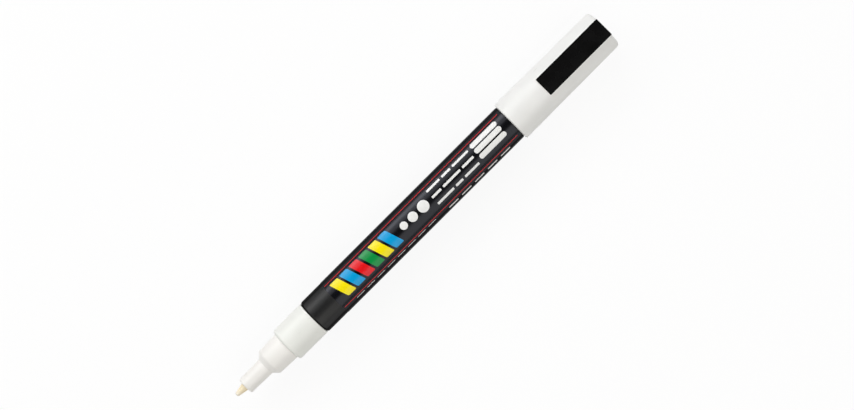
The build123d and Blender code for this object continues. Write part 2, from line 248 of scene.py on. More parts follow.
class MarkerPrint(bpy.types.PropertyGroup):
    """Layout of the generic print on the film: stations count from the nib's tip, heights round the film"""

    stripe_front: size_of("Stripe front", "Station where the pinstripes start", 40.1)
    stripe_rear: size_of("Stripe rear", "Station where the pinstripes end", 109.6)
    stripe_offset: size_of("Stripe offset", "Distance of each pinstripe from their middle", 4.6)
    stripe_drop: size_of("Stripe drop", "Shift of both pinstripes towards -Y", 0.2)
    stripe_width: size_of("Stripe width", "Thickness of the pinstripes", 0.19)
    stripe_rounding: size_of("Stripe rounding", "Rounding of the pinstripes' ends", 0.05)
    middle: size_of("Middle", "Height of the bars' and discs' middle round the film", 0.25)
    disc_front: size_of("Discs front", "Station where the three discs start", 67.3)
    disc_gap: size_of("Disc gap", "Gap between neighbouring discs", 0.9)
    bar_front: size_of("Bars front", "Station of the first coloured bar's middle", 43.9)
    bar_pitch: size_of("Bar pitch", "Distance between neighbouring bars", 3.84)
    bar_width: size_of("Bar width", "Width of a coloured bar", 3.05)
    bar_height: size_of("Bar height", "Height of a coloured bar", 6.3)
    bar_rounding: size_of("Bar rounding", "Rounding of a bar's corners", 0.35)
    bar_slant: share_of("Bar slant", "Shift of a bar along the film as a share of its height", -0.32)
    rule_front: size_of("Rules front", "Station where the rules start", 79.8)
    rule_gap: size_of("Rule gap", "Gap between the dashes of a rule", 0.85)
    rule_width: size_of("Rule width", "Thickness of a rule", 0.72)
    rule_rounding: size_of("Rule rounding", "Rounding of a rule's dashes", 0.2)
    pill_middle: size_of("Pills middle", "Station of the pills' middle", 102.65)
    pill_length: size_of("Pill length", "Length of a pill", 10.3)
    pill_width: size_of("Pill width", "Height of a pill", 1.6)
    edge_offset: size_of("Edge offset", "Distance of the dashes near the edge from the middle", 5.65)


class MarkerStudio(bpy.types.PropertyGroup):
    """Camera, lamps, room and paper"""

    camera_height: size_of("Camera height", "Height of the camera above the marker's axis", 780)
    camera_foot: size_of("Camera foot", "Station that the camera stands above", 95)
    camera_aim: size_of("Camera aim", "Station in the middle of the picture", 77.2)
    camera_lean: angle_of("Camera lean", "How far the camera stands off to the -Y side", 2.6)
    camera_roll: angle_of("Camera roll", "Angle of the marker in the picture", 44.95)
    lens: share_of("Lens", "Focal length in millimetres on a 36 mm sensor", 115)
    key: share_of("Key", "Radiance of the broad lamp on the +Y side", 1.22)
    core: share_of("Core", "Radiance of the bright strip inside it", 2.45)
    fill: share_of("Fill", "Radiance of the broad lamp on the -Y side", 1.36)
    fill_tint: colour_of("Fill tint", "Slightly warm light of that lamp", (1.0, 0.985, 0.945))
    ends: share_of("Ends", "Radiance of the lamps beyond the nib and the cap", 0.55)
    sky: share_of("Sky", "Radiance of the dim room", 0.065)
    paper: share_of("Paper", "Share of plain white that the floor shows", 0.90)


def full_turn(steps=SIDES):
    """Angles of a full turn in equal steps, without its end."""
    return np.linspace(0, 2 * np.pi, steps, endpoint=False)


def quarter_turn(steps=ARC_STEPS):
    """Angles of a quarter turn in equal steps, with both ends."""
    return np.linspace(0, np.pi / 2, steps + 1)


def off_line(turn, count):
    """Angle from the nearest of count lines that are spaced evenly from straight up."""
    pitch = 2 * np.pi / count
    return np.abs((turn + pitch / 2) % pitch - pitch / 2)


def around(x, radius, turn):
    """Points at x, radius and an angle counted from straight up towards +Y, as one array."""
    x, radius, turn = np.broadcast_arrays(x, radius, turn)
    return np.stack([x, radius * np.sin(turn), AXIS_HEIGHT + radius * np.cos(turn)], -1)


def pole(point, columns):
    """Row of a grid whose columns all lie in one point."""
    return np.broadcast_to(point, (1, columns, 3))


def rounded(corners):
    """Columns of x and radius for a profile of (x, radius) and (x, radius, rounding) corners.

    Each rounded corner becomes the arc of that rounding which touches both of its edges; the arc's points
    are the spherical mean of its two ends about its centre.
    """
    points = np.array([corner[:2] for corner in corners], float)
    rows = []
    for before, here, after, corner in zip(np.roll(points, 1, 0), points, np.roll(points, -1, 0), corners):
        if len(corner) < 3:
            rows.append(here[None])
            continue
        back = (before - here) / np.linalg.norm(before - here)
        ahead = (after - here) / np.linalg.norm(after - here)
        half = math.acos(float(np.clip(back @ ahead, -1, 1))) / 2
        reach = corner[2] / math.tan(half)
        middle = back + ahead
        centre = here + middle / np.linalg.norm(middle) * corner[2] / math.sin(half)
        sweep = math.pi - 2 * half
        share = np.linspace(0, 1, ARC_STEPS + 1)[:, None]
        first = np.sin((1 - share) * sweep) * (here + back * reach - centre)
        last = np.sin(share * sweep) * (here + ahead * reach - centre)
        rows.append(centre + (first + last) / math.sin(sweep))
    profile = np.concatenate(rows)
    return profile[:, :1], profile[:, 1:]


def skin(name, points, ring=False, flats=True, room=False):
    """Mesh object of a grid whose columns close on themselves.

    With ring set the last row joins the first; otherwise the first and last rows are poles, and each
    becomes one vertex. The faces are turned outwards by the sign of the enclosed volume. With flats set the
    large faces rule the shading, so that a flat stretch stays flat beside a rounded edge. A room is seen
    from inside: its last row stays an open rim, and its faces turn inwards.
    """
    rows, columns = points.shape[:2]
    number = np.arange(rows * columns).reshape(rows, columns)
    if not ring:
        number[0] = number[0, 0]
        number[-1] = number[-1] if room else number[-1, 0]
    low = number if ring else number[:-1]
    high = np.roll(number, -1, 0) if ring else number[1:]
    quads = np.stack([low, high, np.roll(high, -1, 1), np.roll(low, -1, 1)], -1).reshape(-1, 4)
    used, quads = np.unique(quads, return_inverse=True)
    quads = quads.reshape(-1, 4)
    vertices = points.reshape(-1, 3)[used]
    corner = vertices[quads] - vertices.mean(0)
    volume = np.einsum("ij,ij->", corner[:, 0], np.cross(corner[:, 1], corner[:, 2]))
    volume += np.einsum("ij,ij->", corner[:, 0], np.cross(corner[:, 2], corner[:, 3]))
    if (volume < 0) != room:
        quads = quads[:, ::-1]
    same = quads == np.roll(quads, -1, 1)
    whole = quads[~same.any(1)]
    tipped = quads[same.any(1)]
    start = same[same.any(1)].argmax(1)[:, None]
    triangles = np.take_along_axis(tipped, (start + np.arange(1, 4)) % 4, 1)
    mesh = bpy.data.meshes.new(name)
    mesh.from_pydata(vertices.tolist(), [], whole.tolist() + triangles.tolist())
    mesh.shade_smooth()
    mesh.set_sharp_from_angle(angle=CREASE)
    piece = bpy.data.objects.new(name, mesh)
    bpy.context.scene.collection.objects.link(piece)
    if flats:
        evened = piece.modifiers.new("even shading", "WEIGHTED_NORMAL")
        evened.keep_sharp = True
    return piece


def lathe(name, corners):
    """Turned piece: grid point (i, j) is profile point i turned by step j of a full turn about the axis.

    A profile that starts on the axis is closed by poles, and any other one closes on itself.
    """
    return skin(name, around(*rounded(corners), full_turn()), ring=corners[0][1] > 0)


def fit(piece, body, node, material):
    """Gives a piece its material, ties it to its body, and hides the CAD node that it stands for."""
    piece.data.materials.append(material)
    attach(piece, body)
    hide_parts(node)


def shade(colour, share):
    """A colour made lighter or darker."""
    return tuple(min(1.0, part * share) for part in colour)


class Nodes:
    """Writes sums and textures into a node tree, one short call each; a value is a number or a socket."""

    def __init__(self, tree):
        self.nodes = tree.nodes
        self.links = tree.links

    def put(self, socket, value):
        """Links a socket to another one, or sets it to a number or a row of numbers."""
        if isinstance(value, bpy.types.NodeSocket):
            self.links.new(value, socket)
        else:
            socket.default_value = value

    def feed(self, node, *values, **named):
        """Puts values into a node's inputs, in order or by name, with an underscore for a space."""
        for socket, value in zip(node.inputs, values):
            self.put(socket, value)
        for name, value in named.items():
            self.put(node.inputs[name.replace("_", " ")], value)
        return node

    def add(self, kind, *values, **named):
        """New node of a kind, with some of its inputs fed."""
        return self.feed(self.nodes.new(kind), *values, **named)

    def sum(self, operation, *values):
        """Result of a Math node."""
        node = self.nodes.new("ShaderNodeMath")
        node.operation = operation
        return self.feed(node, *values).outputs[0]


class Finish(Nodes):
    """A material under construction on Object coordinates."""

    def __init__(self, name):
        self.material = bpy.data.materials.new(name)
        self.material.use_nodes = True
        super().__init__(self.material.node_tree)
        self.shader = self.nodes["Principled BSDF"]
        self.place = self.nodes.new("ShaderNodeTexCoord").outputs["Object"]

    def set(self, **named):
        """Feeds the shader's inputs by name."""
        self.feed(self.shader, **named)
        return self

    def axes(self):
        """X, Y and Z of the place."""
        return self.add("ShaderNodeSeparateXYZ", self.place).outputs

    def noise(self, cells, detail=3, stretch=(1, 1, 1)):
        """Noise with so many cells in a metre, stretched along X, Y and Z."""
        mapping = self.add("ShaderNodeMapping", Vector=self.place, Scale=stretch)
        node = self.add("ShaderNodeTexNoise", Vector=mapping.outputs[0], Scale=cells, Detail=detail)
        return node.outputs["Fac"]

    def between(self, value, low, high, start=0.3, end=0.7):
        """A value moved from start to end, by default the usual reach of a noise, onto low to high."""
        return self.add("ShaderNodeMapRange", value, start, end, low, high).outputs[0]

    def tint(self, share, first, second):
        """Mix of two colours; the share and the colours are inputs 0, 6 and 7 of a colour mix, output 2."""
        node = self.nodes.new("ShaderNodeMix")
        node.data_type = "RGBA"
        self.put(node.inputs[0], share)
        for number, colour in ((6, first), (7, second)):
            linked = isinstance(colour, bpy.types.NodeSocket)
            self.put(node.inputs[number], colour if linked else (*colour, 1))
        return node.outputs[2]

    def mottle(self, pattern, colour, low, high):
        """A colour that drifts with a pattern between two shades of itself."""
        return self.tint(self.between(pattern, 0, 1), shade(colour, low), shade(colour, high))

    def relief(self, height, depth, **under):
        """Bump of a height pattern that is depth metres deep, on top of a Normal where one is given."""
        return self.add("ShaderNodeBump", Strength=1, Distance=depth, Height=height, **under).outputs[0]

    def satin(self, level, start, end, rest):
        """Specular level that falls to a rest as the surface turns away, so that a rim doesn't shine."""
        weight = self.add("ShaderNodeLayerWeight", Blend=0.5)
        return self.between(weight.outputs["Facing"], level, rest, start, end)


def felt(colours, highlight_fade):
    """Bonded fibre: strands along the rod, open pores between them, no gloss, and a tip painted paler as a
    highlight.
    """
    finish = Finish("bonded fibre")
    strands = finish.noise(900, detail=4, stretch=(0.12, 1, 1))
    pores = finish.noise(5200, detail=2, stretch=(0.35, 1, 1))
    # Painted highlight: the fibre is painted paler towards the tip, fading over the given length
    behind = finish.between(finish.axes()[0], 0, 1, NIB_TIP, NIB_TIP + highlight_fade)
    cream = finish.tint(behind, colours.tip_highlight, colours.nib)
    # Painted shade: the fibre is darker where the strands' and pores' bumps are low, in the grooves and
    # pores
    base = finish.tint(finish.between(strands, 0.07, 0), cream, (0, 0, 0))
    base = finish.tint(finish.between(pores, 0.2, 0, 0.26, 0.38), base, shade(colours.nib, 0.45))
    normal = finish.relief(strands, 0.02 * MM, Normal=finish.relief(pores, 0.008 * MM))
    finish.set(Base_Color=base, Roughness=finish.between(strands, 0.78, 0.92), Normal=normal)
    return finish.set(Specular_IOR_Level=0.25).material


def moulding(name, colour, roughness, clouds=0.02, peel=0.0012 * MM, satin=WHITE_SATIN):
    """Moulded plastic: faint clouds in the pigment, a fine peel and roughness that drifts with handling."""
    finish = Finish(name)
    drift = finish.noise(160)
    rubs = finish.noise(700, detail=4, stretch=(0.15, 1, 1))
    base = finish.mottle(drift, colour, 1 - clouds, 1 + clouds)
    as_moulded = finish.between(drift, roughness - 0.03, roughness + 0.03)
    worn = finish.sum("ADD", as_moulded, finish.between(rubs, -0.05, 0.05))
    finish.set(Base_Color=base, Roughness=worn, Normal=finish.relief(finish.noise(2600), peel))
    return finish.set(Specular_IOR_Level=finish.satin(*satin)).material


def steel(name, colour, roughness, stretch=(1, 1, 1)):
    """Bare steel with fine drawing or rolling marks."""
    finish = Finish(name)
    marks = finish.noise(6000, stretch=stretch)
    base = finish.mottle(finish.noise(500, detail=2), colour, 0.88, 1)
    marked = finish.between(marks, roughness - 0.06, roughness + 0.08)
    finish.set(Base_Color=base, Roughness=marked, Metallic=1.0)
    return finish.set(Normal=finish.relief(marks, 0.0008 * MM)).material


def rubber(colours):
    """Smooth rubber with a dusty bloom."""
    finish = Finish("seat rubber")
    bloom = finish.noise(900, detail=4)
    base = finish.mottle(bloom, colours.rubber, 1, 1.7)
    finish.set(Base_Color=base, Roughness=finish.between(bloom, 0.55, 0.75))
    return finish.set(Normal=finish.relief(finish.noise(9000, detail=2), 0.002 * MM)).material


def foil(colours):
    """Hot-stamped black foil: even, satin, with a faint grain from the stamping die."""
    finish = Finish("stamped foil")
    cloud = finish.noise(220)
    base = finish.mottle(cloud, colours.foil, 0.8, 1.3)
    finish.set(Base_Color=base, Roughness=finish.between(cloud, 0.24, 0.30))
    finish.set(Specular_IOR_Level=finish.satin(*FOIL_SATIN))
    return finish.set(Normal=finish.relief(finish.noise(3800, detail=2), 0.0008 * MM)).material


def bar_mask():
    """Node group: 1 inside a rounded, slanted rectangle and 0 outside, from its signed distance.

    With a = |s - s0 - slant (t - t0)| - (half length - rounding) and
    b = |t - t0| - (half height - rounding), the distance is the length of (max(a, 0), max(b, 0)) plus
    min(max(a, b), 0) less the rounding. The mask falls from 1 to 0 over the width of the ink's edge.
    """
    group = bpy.data.node_groups.new("print bar", "ShaderNodeTree")
    names = ("s", "t", "s0", "t0", "half length", "half height", "rounding", "slant")
    for name in names:
        group.interface.new_socket(name=name, in_out="INPUT", socket_type="NodeSocketFloat")
    group.interface.new_socket(name="inside", in_out="OUTPUT", socket_type="NodeSocketFloat")
    desk = Nodes(group)
    given = desk.nodes.new("NodeGroupInput").outputs
    s, t, s0, t0, half_length, half_height, rounding, slant = [given[name] for name in names]
    up = desk.sum("SUBTRACT", t, t0)
    along = desk.sum("SUBTRACT", desk.sum("SUBTRACT", s, s0), desk.sum("MULTIPLY", up, slant))
    a = desk.sum("SUBTRACT", desk.sum("ABSOLUTE", along), desk.sum("SUBTRACT", half_length, rounding))
    b = desk.sum("SUBTRACT", desk.sum("ABSOLUTE", up), desk.sum("SUBTRACT", half_height, rounding))
    past_a = desk.sum("POWER", desk.sum("MAXIMUM", a, 0.0), 2.0)
    past_b = desk.sum("POWER", desk.sum("MAXIMUM", b, 0.0), 2.0)
    outer = desk.sum("SQRT", desk.sum("ADD", past_a, past_b))
    inner = desk.sum("MINIMUM", desk.sum("MAXIMUM", a, b), 0.0)
    distance = desk.sum("SUBTRACT", desk.sum("ADD", outer, inner), rounding)
    edge = desk.sum("MULTIPLY_ADD", distance, -1 / INK_EDGE, 0.5)
    inside = desk.sum("MINIMUM", desk.sum("MAXIMUM", edge, 0.0), 1.0)
    desk.add("NodeGroupOutput", inside)
    return group


def white_marks(plan):
    """Middle station, height round the film, length, width and rounding of each white mark of the print."""
    marks = []
    for height, lengths in RULES:
        front = plan.rule_front
        for length in lengths:
            dash = length * MM
            marks.append((front + dash / 2, height * MM, dash, plan.rule_width, plan.rule_rounding))
            front += dash + plan.rule_gap
    pill = (plan.pill_length, plan.pill_width, plan.pill_width / 2)
    marks += [(plan.pill_middle, height * MM, *pill) for height in PILL_HEIGHTS]
    for start, pitch, count, drop, width in EDGE_ROWS:
        for step in range(count):
            middle = (start + pitch * (step + 0.5)) * MM
            low = -plan.edge_offset - drop * MM
            marks.append((middle, low, EDGE_FILL * pitch * MM, width * MM, width * MM / 2))
    front = plan.disc_front
    for diameter in DISC_DIAMETERS:
        size = diameter * MM
        marks.append((front + size / 2, plan.middle, size, size, size / 2))
        front += size + plan.disc_gap
    return marks


class FilmPrint(Finish):
    """The printed film under construction.

    The print is laid out on s, the distance from the nib's tip, and t, the arc round the film from straight
    up towards +Y: t = film radius times atan2(y, z - axis height). Its nodes count both in millimetres.
    """

    def __init__(self):
        super().__init__("printed film")
        self.mask = bar_mask()
        x, y, z = self.axes()
        angle = self.sum("ARCTAN2", y, self.sum("SUBTRACT", z, AXIS_HEIGHT))
        self.s = self.sum("MULTIPLY", self.sum("SUBTRACT", x, NIB_TIP), 1 / MM)
        self.t = self.sum("MULTIPLY", angle, extent("label_film")[2] / MM)

    def bar(self, s0, t0, length, height, rounding, slant=0.0):
        """Mask of a bar about its middle, from sizes in metres."""
        node = self.nodes.new("ShaderNodeGroup")
        node.node_tree = self.mask
        sizes = [size / MM for size in (s0, t0, length / 2, height / 2, rounding)]
        return self.feed(node, self.s, self.t, *sizes, slant).outputs[0]

    def bars(self, marks):
        """Mask of several bars together."""
        whole = self.bar(*marks[0])
        for mark in marks[1:]:
            whole = self.sum("MAXIMUM", whole, self.bar(*mark))
        return whole


def printed_film(colours, plan):
    """Black wrap film with a generic print under its gloss."""
    film = FilmPrint()
    cloud = film.noise(180)
    speck = film.noise(3000, detail=2)
    base = film.mottle(cloud, colours.film, 0.85, 1.2)
    bar = (plan.middle, plan.bar_width, plan.bar_height, plan.bar_rounding, plan.bar_slant)
    for step, ink in enumerate(BAR_INKS):
        swatch = film.mottle(speck, getattr(colours, ink), 0.95, 1.03)
        base = film.tint(film.bar(plan.bar_front + step * plan.bar_pitch, *bar), base, swatch)
    middle = (plan.stripe_rear + plan.stripe_front) / 2
    stripe = (plan.stripe_rear - plan.stripe_front, plan.stripe_width, plan.stripe_rounding)
    heights = (plan.stripe_offset - plan.stripe_drop, -plan.stripe_offset - plan.stripe_drop)
    base = film.tint(film.bars([(middle, height, *stripe) for height in heights]), base, colours.red_ink)
    white = film.mottle(speck, colours.white_ink, 0.97, 1)
    base = film.tint(film.bars(white_marks(plan)), base, white)
    film.set(Base_Color=base, Roughness=film.between(cloud, 0.22, 0.27))
    film.set(Specular_IOR_Level=film.satin(*BLACK_SATIN), Specular_Tint=(*colours.film_sheen, 1))
    return film.set(Normal=film.relief(film.noise(420, detail=2), 0.0035 * MM)).material


class MARKER_OT_nib(bpy.types.Operator):
    """Bullet nib of bonded fibre, a rod whose strands stand out as fine ridges"""

    bl_idname = "marker.nib"
    bl_label = "Nib"

    def execute(self, context):
        sizes = context.scene.marker_sizes
        front, rear, radius = extent("nib")
        corners = [
            (front, 0),
            (front, sizes.nib_tip_radius, sizes.nib_tip_rounding),
            (front + sizes.nib_taper, radius, sizes.nib_shoulder),
            (rear - sizes.nib_bevel, radius),
            (rear, radius - sizes.nib_bevel),
            (rear, 0),
        ]
        x, radii = rounded(corners)
        # Ridges: the radius less a mean of cosines round the rod, which fades out towards the axis
        turn = full_turn()
        phases = np.random.default_rng(RIDGE_SEED).uniform(0, 2 * np.pi, (len(RIDGE_WAVES), 1))
        ridges = np.cos(RIDGE_WAVES[:, None] * turn + phases).mean(0)
        depth = sizes.fibre_depth * np.clip(radii / radius, 0, 1) ** 2
        piece = skin("nib_rod", around(x, radii - depth * (ridges - ridges.min()), turn))
        fit(piece, "nib", "nib", felt(context.scene.marker_colours, sizes.tip_highlight_fade))
        return {"FINISHED"}


class MARKER_OT_nozzle(bpy.types.Operator):
    """White nozzle: slim front with the nib's bore, cone, thicker middle and spigot"""

    bl_idname = "marker.nozzle"
    bl_label = "Nozzle"

    def execute(self, context):
        sizes = context.scene.marker_sizes
        front, rear, radius = extent("nozzle")
        seam = rear - sizes.spigot_length
        foot = front + sizes.slim_length
        shoulder = foot + sizes.cone_length
        chamber = sizes.spigot_radius - sizes.spigot_wall
        cone_front = foot + sizes.chamber_setback
        cone_rear = shoulder + sizes.chamber_setback
        channel_floor = sizes.nib_bore + sizes.channel_depth
        channel_front = front + sizes.channel_setback
        climb = sizes.channel_depth / (chamber - sizes.nib_bore)
        channel_rear = cone_front + climb * (cone_rear - cone_front)
        corners = [
            (front, sizes.nib_bore, sizes.bore_rounding),
            (front, sizes.slim_front_radius, sizes.nozzle_front_rounding),
            (foot, sizes.slim_radius, sizes.foot_rounding),
            (shoulder, sizes.shoulder_radius, sizes.shoulder_rounding),
            (seam, radius, sizes.seam_rounding),
            (seam, sizes.spigot_radius),
            (rear, sizes.spigot_radius),
            (rear, chamber),
            (cone_rear, chamber),
            (channel_rear, channel_floor),
            (cone_front, sizes.nib_bore),
            (channel_front, sizes.nib_bore),
            (channel_front - sizes.channel_slope, sizes.nib_bore),
        ]
        x, radii = rounded(corners)
        # Feed channels: evenly round the bore, where the rows behind their front reach out to their floor
        turn = full_turn()
        aside = off_line(turn, sizes.channel_count) * sizes.nib_bore
        cut = (x >= channel_front) & (radii < channel_floor) & (aside < sizes.channel_width / 2)
        piece = skin("nozzle_moulding", around(x, np.where(cut, channel_floor, radii), turn), ring=True)
        material = moulding("nozzle white", context.scene.marker_colours.nozzle, roughness=0.36)
        fit(piece, "marker", "nozzle", material)
        return {"FINISHED"}


class MARKER_OT_neck(bpy.types.Operator):
    """White neck: socket for the nozzle, web for the valve and stem for the barrel"""

    bl_idname = "marker.neck"
    bl_label = "Neck"

    def execute(self, context):
        sizes = context.scene.marker_sizes
        front, rear, radius = extent("neck")
        seam = front + sizes.neck_length
        web_front = front + sizes.spigot_length
        web_rear = web_front + sizes.neck_web
        socket = sizes.spigot_radius + sizes.spigot_gap
        corners = [
            (front, socket),
            (front, radius, sizes.neck_front_rounding),
            (seam, radius, sizes.seam_rounding),
            (seam, sizes.neck_stem_radius),
            (rear, sizes.neck_stem_radius, sizes.plug_rounding),
            (rear, sizes.neck_stem_bore),
            (web_rear, sizes.neck_stem_bore),
            (web_rear, sizes.neck_web_bore),
            (web_front, sizes.neck_web_bore),
            (web_front, socket),
        ]
        material = moulding("neck white", context.scene.marker_colours.neck, roughness=0.34)
        fit(lathe("neck_moulding", corners), "marker", "neck", material)
        return {"FINISHED"}


class MARKER_OT_barrel(bpy.types.Operator):
    """Black barrel with a rounded lip"""

    bl_idname = "marker.barrel"
    bl_label = "Barrel"

    def execute(self, context):
        sizes = context.scene.marker_sizes
        front, rear, radius = extent("barrel")
        corners = [
            (front, sizes.barrel_bore),
            (front, radius, sizes.barrel_front_rounding),
            (rear, radius, sizes.barrel_rear_rounding),
            (rear, sizes.barrel_bore),
        ]
        black = context.scene.marker_colours.barrel
        material = moulding("barrel black", black, 0.40, clouds=0.12, peel=0.002 * MM, satin=BLACK_SATIN)
        fit(lathe("barrel_tube", corners), "marker", "barrel", material)
        return {"FINISHED"}


class MARKER_OT_film(bpy.types.Operator):
    """Printed film wrapped round the barrel"""

    bl_idname = "marker.film"
    bl_label = "Printed film"

    def execute(self, context):
        edge = context.scene.marker_sizes.film_edge
        front, rear, radius = extent("label_film")
        under = extent("barrel")[2]
        corners = [(front, under), (front, radius, edge), (rear, radius, edge), (rear, under)]
        material = printed_film(context.scene.marker_colours, context.scene.marker_print)
        fit(lathe("film_sleeve", corners), "marker", "label_film", material)
        return {"FINISHED"}


class MARKER_OT_tail(bpy.types.Operator):
    """White tail plug that the cap is posted on"""

    bl_idname = "marker.tail"
    bl_label = "Tail plug"

    def execute(self, context):
        sizes = context.scene.marker_sizes
        front, rear, radius = extent("tail_plug")
        seam = rear - sizes.tail_length
        bore = sizes.tail_spigot_radius - sizes.tail_wall
        corners = [
            (rear - sizes.tail_wall, 0),
            (rear - sizes.tail_wall, bore),
            (front, bore),
            (front, sizes.tail_spigot_radius, sizes.plug_rounding),
            (seam, sizes.tail_spigot_radius),
            (seam, radius, sizes.seam_rounding),
            (rear, radius, sizes.tail_end_rounding),
            (rear, 0),
        ]
        material = moulding("tail white", context.scene.marker_colours.cap, roughness=0.36)
        fit(lathe("tail_moulding", corners), "marker", "tail_plug", material)
        return {"FINISHED"}


class MARKER_OT_cap(bpy.types.Operator):
    """White cap: a tapered shell with a flat-topped bar outside and grip ribs inside"""

    bl_idname = "marker.cap"
    bl_label = "Cap"

    def execute(self, context):
        sizes = context.scene.marker_sizes
        x, plain, inset, share, rib = self.rows(sizes)
        turn, outer = self.bar(sizes, plain, inset)
        # Ribs: parabolic ridges evenly round the bore
        off_rib = off_line(turn, sizes.rib_count) * sizes.cap_bore / (sizes.rib_width / 2)
        radius = share * (outer - rib * sizes.rib_height * np.maximum(0, 1 - off_rib**2))
        material = moulding("cap white", context.scene.marker_colours.cap, roughness=0.34)
        fit(skin("cap_moulding", around(x, radius, turn)), "cap", "cap_shell", material)
        return {"FINISHED"}

    def rows(self, sizes):
        """Rows of the grid, from the bore's floor out through the mouth and along the outside to the end.

        Each has an x, a plain radius without bar and ribs, the bar's inset, which is nan where there is no
        bar, the share of the radius that is left on the end face, and the share of the ribs' height.
        """
        mouth, end, mouth_radius = extent("cap_shell")
        edge = sizes.bar_edge
        lip = sizes.cap_mouth_rounding
        turn_in = sizes.cap_end_rounding
        bore = sizes.cap_bore
        inner = bore - sizes.cap_ledge
        floor = end - sizes.cap_end_wall
        ledge = extent("inner_cap")[0] + sizes.sleeve_flange
        rib_front = mouth + sizes.rib_setback
        rib_rear = rib_front + sizes.rib_length
        bar_front = end - sizes.bar_length

        def cone(x):
            return mouth_radius + (sizes.cap_end_radius - mouth_radius) * (x - mouth) / (end - mouth)

        def stretch(x, plain, inset=np.nan, share=1, rib=0):
            return np.stack(np.broadcast_arrays(x, plain, inset, share, rib))

        fall = np.linspace(1, 0, RAMP_STEPS + 1)
        rise = fall[::-1]
        by_sine = 1 - np.sin(quarter_turn())
        by_cosine = 1 - np.cos(quarter_turn())
        bend = quarter_turn(3 * ARC_STEPS)
        before_bar = np.linspace(mouth + lip, bar_front, CAP_ROWS + 1)[1:]
        on_bar = np.linspace(bar_front + edge, end - turn_in, CAP_ROWS + 2)[1:-1]
        to_end = turn_in * (1 - np.sin(bend))
        bar_end = edge - np.sqrt(np.maximum(0, edge**2 - np.maximum(0, edge - to_end) ** 2))
        stretches = [
            stretch([floor, floor, ledge, ledge], [0, inner, inner, bore]),
            stretch(rib_rear - sizes.rib_ramp * rise, bore, rib=rise),
            stretch(rib_front + sizes.rib_ramp * fall, bore, rib=fall),
            stretch(mouth + lip * by_sine, bore + lip * by_cosine),
            stretch(mouth + lip * by_cosine, cone(mouth) - lip * by_sine),
            stretch(before_bar, cone(before_bar)),
            stretch(bar_front + edge * by_cosine, cone(bar_front), edge * by_sine),
            stretch(on_bar, cone(on_bar), 0),
            stretch(end - to_end, cone(end) - turn_in * (1 - np.cos(bend)), bar_end),
            stretch(end, cone(end) - turn_in, edge, fall[1:]),
        ]
        return np.concatenate(stretches, 1)[:, :, None]

    def bar(self, sizes, plain, inset):
        """Angles of the grid and its outer radii.

        The columns follow the bar in each row's own angles: wall, rounded corner, flat top, corner, wall
        and then the round back. The bar is a rounded rectangle in polar form: its radius is high / cos on
        the top, wide / sin on the walls and a circle's on the corners. The shell takes the greater of it
        and the cone.
        """
        edge = sizes.bar_edge
        half_width = sizes.bar_width / 2
        on = ~np.isnan(inset)
        drop = np.where(on, inset, 0)
        wide = half_width - drop
        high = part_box("cap_shell")[1].z - AXIS_HEIGHT - drop
        corner = np.arctan2(wide - edge, high)
        side = np.arctan2(wide, high - edge)
        root = np.maximum(np.arcsin(np.clip(wide / np.maximum(plain, half_width), -1, 1)), side)
        breaks = np.concatenate([-root, -side, -corner, corner, side, root, 2 * np.pi - root], 1)
        span = np.repeat(np.arange(len(BAR_COLUMNS)), BAR_COLUMNS)
        along = np.concatenate([np.arange(count) / count for count in BAR_COLUMNS])
        turn = breaks[:, span] + along * (breaks[:, span + 1] - breaks[:, span])

        tilt = off_line(turn, 1)
        toward = np.sin(tilt) * (wide - edge) + np.cos(tilt) * (high - edge)
        far = (wide - edge) ** 2 + (high - edge) ** 2
        arc = toward + np.sqrt(np.maximum(toward**2 - far + edge**2, 0))
        top = high / np.maximum(np.cos(tilt), LEAST)
        wall = wide / np.maximum(np.sin(tilt), LEAST)
        outer = np.where(tilt < corner, top, np.where(tilt < side, arc, wall))
        return turn, np.where(on & (tilt < np.pi / 2), np.maximum(outer, plain), plain)


class MARKER_OT_foil(bpy.types.Operator):
    """Black foil on the cap's bar: a thin plate with softened edges"""

    bl_idname = "marker.foil"
    bl_label = "Cap foil"

    def execute(self, context):
        sizes = context.scene.marker_sizes
        low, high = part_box("cap_panel")
        middle = (low + high) / 2
        edge = sizes.foil_edge
        corner = sizes.foil_corner
        border = sizes.foil_border
        # Outline: a rectangle whose four corners are quarter circles; the rows step out under the plate, up
        # its side, round its top edge and in over its top
        angle = (np.arange(4)[:, None] * np.pi / 2 + quarter_turn()).reshape(-1)
        sign_x = np.repeat([1, -1, -1, 1], ARC_STEPS + 1)
        sign_y = np.repeat([1, 1, -1, -1], ARC_STEPS + 1)
        bend = quarter_turn(ARC_STEPS // 2)
        inset = np.concatenate([[border, 0], edge * (1 - np.cos(bend)), [border]])[:, None]
        height = np.concatenate([[low.z, low.z], high.z - edge * (1 - np.sin(bend)), [high.z]])[:, None]
        reach = corner - inset
        x = middle.x + sign_x * ((high.x - low.x) / 2 - corner) + reach * np.cos(angle)
        y = middle.y + sign_y * (sizes.bar_width / 2 - corner) + reach * np.sin(angle)
        sides = np.stack([x, y, np.broadcast_to(height, x.shape)], -1)
        under = pole((middle.x, middle.y, low.z), len(angle))
        over = pole((middle.x, middle.y, high.z), len(angle))
        piece = skin("cap_foil", np.concatenate([under, sides, over]))
        fit(piece, "cap", "cap_panel", foil(context.scene.marker_colours))
        return {"FINISHED"}


